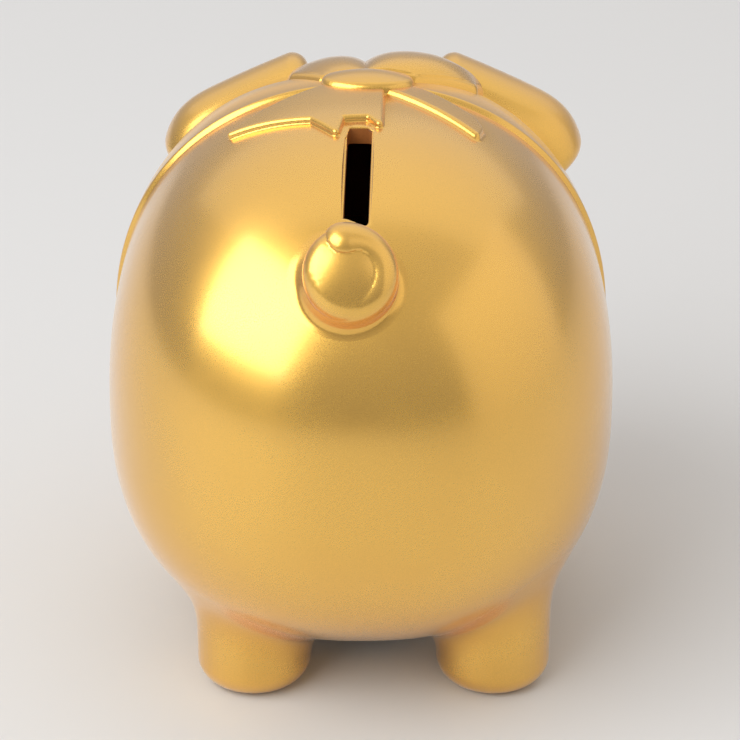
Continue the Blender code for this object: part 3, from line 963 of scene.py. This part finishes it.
tail()

# %% [markdown]
# ## The bow
#
# The ribbon is rolled clay, cut to shape and laid on the back: two puffed loops in front of the knot, two
# flat ends behind it and the domed knot over all of them. Each core is a sheet that hangs just over the
# back, between a line by the knot and a line at the far end. Thicker clay in the middle makes a loop puffy,
# and a small blend at its foot keeps the ribbon's edge crisp.

# %% Lay the bow's lengths of ribbon
def line_at(points, share):
    """The place at this share of a line through evenly spread points."""
    spot = share * (len(points) - 1)
    i = min(int(spot), len(points) - 2)
    return Vector(points[i]).lerp(Vector(points[i + 1]), spot - i)


def ribbon(node, near, far, lie, thick, puff=0.0, fading=0.0, blend=1.4 * MM):
    """A length of ribbon from the line near the knot to the far line, in millimetres in plan."""
    rows = []
    for s in np.linspace(0, 1, 44):
        row = []
        for t in np.linspace(0, 1, 56):
            spot = line_at(near, t).lerp(line_at(far, t), s) * MM
            crown = math.sin(math.pi * min(max(s, 0), 1)) ** 0.6 * math.sin(math.pi * t) ** 0.6
            puffed = 0.5 * puff * crown * (1 - fading * t)
            row.append((over_back(spot.x, spot.y, lie + puffed), thick + puffed))
        rows.append(row)
    piece = press_on("gold_" + node, [rows], blend, RIBBON_VOXEL)
    hand_over(piece, GOLD, "gold_ceramic", node)


ribbon("bow_loop_left", [(-1.0, -15.5), (3.0, -15.0), (7.4, -14.6)],
       [(-0.6, -39.0), (4.6, -38.5), (10.0, -36.5), (13.4, -31.0), (13.0, -21.0)],
       0.8 * MM, 1.2 * MM, puff=3.0 * MM, fading=0.7, blend=5 * MM)
ribbon("bow_loop_right", [(-10.4, -14.8), (-6.0, -15.2), (-1.6, -15.5)],
       [(-22.0, -20.0), (-23.5, -28.5), (-19.5, -35.5), (-9.5, -38.5), (-1.8, -39.0)],
       1.3 * MM, 1.4 * MM, puff=3.0 * MM, blend=5 * MM)
ribbon("bow_tail_left", [(7.0, -9.4), (2.0, -8.0), (-4.0, -8.2)],
       [(25.6, 4.4), (9.6, 7.6), (4.9, 13.8), (3.9, 8.0), (-1.6, 7.6), (-3.6, 10.6)],
       0.55 * MM, 0.75 * MM, blend=1.1 * MM)
ribbon("bow_tail_right", [(-4.2, -8.4), (-8.0, -8.8), (-10.6, -10.0)],
       [(-22.6, 7.4), (-23.4, 4.2), (-22.4, 0.6)],
       0.4 * MM, 0.8 * MM, blend=2.0 * MM)


# %% Set the knot on
KNOT_LIE = 0.9 * MM
KNOT_EDGE = 1.6 * MM
KNOT_BLEND = 1.6 * MM


def knot():
    low, high = [Vector(corner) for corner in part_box("bow_knot")]
    middle = ((low + high) / 2 - CENTRE) / MM
    half_width = ((high.x - low.x) / 2 - KNOT_EDGE) / MM
    half_length = ((high.y - low.y) / 2 - KNOT_EDGE) / MM
    rows = []
    for share in np.linspace(0.02, 1, 16):
        row = []
        for turn in np.linspace(0, math.tau, 49):
            x = middle.x + half_width * share * math.cos(turn)
            y = middle.y + half_length * share * math.sin(turn)
            dome = (1 - share**2) * MM
            row.append((over_back(x * MM, y * MM, KNOT_LIE + 0.3 * dome), KNOT_EDGE + 0.5 * dome))
        rows.append(row)
    piece = press_on("gold_bow_knot", [rows], KNOT_BLEND, RIBBON_VOXEL)
    hand_over(piece, GOLD, "gold_ceramic", "bow_knot")


knot()

# %% [markdown]
# ## The ribbon round the neck
#
# The collar is a long strip that follows the body all the way round, under the knot and under the chin.
# This is work for Geometry Nodes again. A flat grid is bent round the body by a formula, dropped onto its
# surface with the egg rule, and lifted along the normal by a cross section with rounded edges. The grid is
# twice as wide as the ribbon, and its outer halves fold back underneath, so the strip is closed.

# %% Wrap the collar
COLLAR_WIDTH = 15.5 * MM
COLLAR_AT_KNOT = -14.0 * MM
COLLAR_AT_CHIN = -48.0 * MM
COLLAR_NARROWING = 2.5 * MM
COLLAR_GATHERING = 6.0 * MM
COLLAR_THICKNESS = 1.05 * MM
COLLAR_EDGE = 1.5 * MM
KNOT_TURN = math.radians(91.2)
GATHERED_OVER = math.radians(19)
SWEEP_POWER = 1.6
COLLAR_UNDERSIDE = -0.4 * MM


def wrapped_collar():
    recipe = Recipe("Wrapped collar")
    names = ("Width", "At knot", "At chin", "Narrowing", "Gathering", "Thickness", "Edge")
    width, at_knot, at_chin, narrowing, gathering, thickness, edge = map(recipe.take, names)
    around, across = recipe.take("Around", "Int"), recipe.take("Across", "Int")
    material = recipe.take("Material", "Material")
    sizes = take_body(recipe)
    grid = recipe.add("GeometryNodeMeshGrid", {0: math.tau, 1: 4.0, 2: around, 3: across}).outputs[0]
    turned_by, fold, _ = recipe.parts(recipe.add("GeometryNodeInputPosition", {}).outputs[0])

    turn = recipe.math("ADD", turned_by, KNOT_TURN)
    low = recipe.math("MULTIPLY_ADD", recipe.math("SINE", turn), -0.5, 0.5)
    to_chin = recipe.math("SUBTRACT", at_chin, at_knot)
    sweep = recipe.math("MULTIPLY", to_chin, recipe.math("POWER", low, SWEEP_POWER))
    from_knot = recipe.math("DIVIDE", turned_by, GATHERED_OVER)
    fading = recipe.math("MULTIPLY", recipe.math("POWER", recipe.math("ABSOLUTE", from_knot), 2.0), -1.0)
    gather = recipe.math("MULTIPLY", gathering, recipe.math("EXPONENT", fading))
    slim = recipe.math("MULTIPLY_ADD", narrowing, low, gather)
    half_edge = recipe.math("MULTIPLY", edge, 0.5)
    half = recipe.math("MULTIPLY_ADD", recipe.math("SUBTRACT", width, slim), 0.5, half_edge)
    aside = recipe.math("MULTIPLY", half, recipe.math("SINE", recipe.math("MULTIPLY", fold, math.pi / 2)))
    along = recipe.math("ADD", recipe.math("ADD", at_knot, sweep), aside)

    length = recipe.parts(sizes["Half sizes"])[1]
    fullness = sizes["Fullness"]
    far_along = recipe.math("DIVIDE", recipe.math("ABSOLUTE", along), length)
    left = recipe.math("SUBTRACT", 1.0, recipe.math("POWER", far_along, fullness))
    shrink = recipe.math("POWER", left, recipe.math("DIVIDE", 1.0, fullness))
    spoke = recipe.together(recipe.math("COSINE", turn), 0.0, recipe.math("SINE", turn))
    centre = sizes["Centre"]
    girth = recipe.group(EGG, {"Place": recipe.vector("ADD", spoke, centre), **sizes})["On surface"]
    offset = recipe.scaled(recipe.vector("SUBTRACT", girth, centre), shrink)
    shifted = recipe.vector("ADD", offset, recipe.together(0.0, along, 0.0))
    laid = recipe.vector("ADD", shifted, centre)

    inside = recipe.math("SUBTRACT", half, recipe.math("ABSOLUTE", aside))
    climb = recipe.add(
        "ShaderNodeMapRange", {0: inside, 1: 0.0, 2: edge, 3: -SEAM, 4: thickness},
        interpolation_type="SMOOTHERSTEP",
    ).outputs[0]
    under = recipe.math("GREATER_THAN", recipe.math("ABSOLUTE", fold), 1.001)
    height = recipe.math("MULTIPLY_ADD", under, recipe.math("SUBTRACT", COLLAR_UNDERSIDE, climb), climb)
    outward = recipe.group(EGG, {"Place": laid, **sizes})["Outward"]
    place = recipe.vector("ADD", laid, recipe.scaled(outward, height))

    # The ribbon's edges get the same mark: partly pooled paint, partly painted shade where it meets the
    # body.
    pooled_paint_and_crease_shade = recipe.math("SUBTRACT", 1.0, recipe.math("DIVIDE", inside, half_edge))
    strip = recipe.add(
        "GeometryNodeStoreNamedAttribute", {0: grid, "Name": "pooled_paint_and_crease_shade", "Value": pooled_paint_and_crease_shade},
        data_type="FLOAT", domain="POINT",
    ).outputs[0]
    strip = recipe.add("GeometryNodeSetPosition", {0: strip, "Position": place}).outputs[0]
    closed = recipe.add("GeometryNodeMergeByDistance", {0: strip, "Distance": 0.002 * MM}).outputs[0]
    smooth = recipe.add("GeometryNodeSetShadeSmooth", {0: closed}).outputs[0]
    real = recipe.add("GeometryNodeRealizeInstances", {0: smooth}).outputs[0]
    painted = recipe.add("GeometryNodeSetMaterial", {0: real, "Material": material}).outputs[0]
    recipe.give("Geometry", painted, "Geometry")
    return recipe


collar = follow(wrapped_collar(), "gold_collar", {
    **body_inputs(), "Width": COLLAR_WIDTH, "At knot": COLLAR_AT_KNOT, "At chin": COLLAR_AT_CHIN,
    "Narrowing": COLLAR_NARROWING, "Gathering": COLLAR_GATHERING, "Thickness": COLLAR_THICKNESS,
    "Edge": COLLAR_EDGE, "Around": 421, "Across": 121, "Material": GOLD,
})
hand_over(collar, GOLD, "gold_ceramic", "neck_collar")

# %% [markdown]
# ## The stopper
#
# The stopper is moulded rubber: a flange that seats in the belly, a hollow plug with a lip that grips the
# clay, and two half-moon dents for finger and thumb. It is one turned shape, with the two dents cut out of
# its underside.

# %% Turn the stopper and cut its grips
FLANGE_THICKNESS = 3.0 * MM
PLUG_RADIUS = 14.2 * MM
PLUG_LIP = 0.45 * MM
RUBBER_WALL = 2.4 * MM
GRIP_RADIUS = 10.5 * MM
# How much wider than the grip's floor line, and how deep, each ring of its cutter is, in millimetres.
GRIP_RINGS = [(0.7, -1.0), (0.45, -0.02), (0.12, 0.12), (0.0, 0.45), (0.0, 1.2), (-0.25, 1.58), (-0.8, 1.7)]
CORNER_SOFTENING = 0.6 * MM


def softened(corners, radius, steps=5):
    """A line through corners, with each corner but the ends rounded off."""
    line = [corners[0]]
    for before, corner, after in zip(corners, corners[1:], corners[2:]):
        start = corner + (before - corner).normalized() * radius
        end = corner + (after - corner).normalized() * radius
        for i in range(steps + 1):
            t = i / steps
            line.append(start.lerp(corner, t).lerp(corner.lerp(end, t), t))
    return line + [corners[-1]]


def half_moon(side, wider):
    """The outline of one grip, for the side that it is on."""
    angles = [math.radians(20 + 140 * i / 24) for i in range(25)]
    middle = Vector((0, 0.66 * GRIP_RADIUS))
    outline = []
    for angle in angles:
        point = Vector((math.cos(angle), math.sin(angle))) * GRIP_RADIUS
        outline.append((middle + (point - middle) * (1 + 3 * wider / GRIP_RADIUS)) * side)
    return outline


def stopper():
    bottom, top = stopper_low[2], stopper_high[2]
    flange_top = bottom + FLANGE_THICKNESS
    inner = PLUG_RADIUS - RUBBER_WALL
    corners = [
        (0.01 * MM, bottom), (FLANGE_RADIUS, bottom), (FLANGE_RADIUS, flange_top), (PLUG_RADIUS, flange_top),
        (PLUG_RADIUS, top - 3.4 * MM), (PLUG_RADIUS + PLUG_LIP, top - 2 * MM), (PLUG_RADIUS - MM, top),
        (inner, top), (inner, flange_top), (0.01 * MM, flange_top),
    ]
    profile = softened([Vector(corner) for corner in corners], CORNER_SOFTENING)
    piece = as_piece("rubber_stopper", loft(turned(profile, HOLE, 144), [RUBBER]))
    for side in (1, -1):
        rings = []
        for wider, deep in GRIP_RINGS:
            height = bottom + deep * MM
            rings.append([HOLE + Vector((*point, height)) for point in half_moon(side, wider * MM)])
        take_away(piece, loft(rings, [RUBBER]))
    piece.data.set_sharp_from_angle(angle=CREASE)
    hand_over(piece, RUBBER, "stopper_rubber", "belly_stopper", body="stopper")


stopper()

# %% [markdown]
# ## The table, the lights and the camera
#
# The pig stands on a pale table. Behind the pig and to its left, one big soft light makes the round bright
# patch beside the tail and the shadow on the other side. A weaker, warmer panel on that side and a wide one
# high over the head keep the gold from going black, because a metal shows only what is around it. The
# room itself is pale too, a little brighter above than at the horizon.

# %% Table and lights
TABLE_HALF = 2.0


def table_top():
    material, tree, shader, place = new_material("pale table")
    values = {
        "Colour": (0.67, 0.668, 0.665, 1),
        "Deep colour": (0.62, 0.615, 0.61, 1),
        "Roughness": 0.5,
        "Cloudiness": 0.25,
        "Grain": 0.02,
    }
    coat_on(tree, shader, place, 0.002 * MM, values)
    shader.inputs["Specular IOR Level"].default_value = 0.4
    mesh = bpy.data.meshes.new("pale_table")
    corners = [(x * TABLE_HALF, y * TABLE_HALF, 0) for x, y in ((-1, -1), (1, -1), (1, 1), (-1, 1))]
    mesh.from_pydata(corners, [], [(0, 1, 2, 3)])
    mesh.materials.append(material)
    as_piece("pale_table", mesh)


def towards(turn, lift):
    """A direction from the pig: turn starts behind it and goes towards its left, and lift is up."""
    turn, lift = math.radians(turn), math.radians(lift)
    return Vector((math.sin(turn) * math.cos(lift), math.cos(turn) * math.cos(lift), math.sin(lift)))


def soft_light(name, turn, lift, distance, size, watts, colour=(1, 1, 1)):
    lamp = bpy.data.lights.new(name, "AREA")
    lamp.shape = "RECTANGLE"
    lamp.size, lamp.size_y = size
    lamp.energy = watts
    lamp.color = colour
    light = bpy.data.objects.new(name, lamp)
    bpy.context.scene.collection.objects.link(light)
    light.location = CENTRE + towards(turn, lift) * distance
    light.rotation_euler = towards(turn, lift).to_track_quat("Z", "Y").to_euler()


table_top()
soft_light("key_light", 55, 39, 1.5, (1.6, 1.2), 20.5, (0.98, 1.0, 1.02))
soft_light("right_panel", -75, 22, 1.5, (2.0, 1.5), 4.0, (1.0, 0.94, 0.88))
soft_light("overhead_panel", 180, 58, 1.5, (3.0, 1.9), 5.5)

world = bpy.data.worlds.new("pale_room")
world.use_nodes = True
sky = world.node_tree.nodes["Background"]
sky.inputs["Color"].default_value = (1.0, 0.97, 0.945, 1)
direction = shader_node(world.node_tree, "ShaderNodeTexCoord").outputs["Generated"]
height = shader_node(world.node_tree, "ShaderNodeSeparateXYZ", {0: direction}).outputs["Z"]
shade = shader_node(world.node_tree, "ShaderNodeMapRange", {"Value": height, "To Min": 0.38, "To Max": 0.71})
world.node_tree.links.new(shade.outputs["Result"], sky.inputs["Strength"])
bpy.context.scene.world = world
bpy.context.scene.view_settings.view_transform = "Standard"

# %% Camera
CAMERA_LIFT = 26.5
CAMERA_DISTANCE = 0.623
LENS_MM = 144.9
LENS_SHIFT = (0.0122, 0.023)
lens = bpy.data.cameras.new("camera")
lens.lens = LENS_MM
lens.shift_x, lens.shift_y = LENS_SHIFT
camera = bpy.data.objects.new("camera", lens)
bpy.context.scene.collection.objects.link(camera)
camera.location = CENTRE + towards(0, CAMERA_LIFT) * CAMERA_DISTANCE
camera.rotation_euler = towards(0, CAMERA_LIFT).to_track_quat("Z", "Y").to_euler()
bpy.context.scene.camera = camera
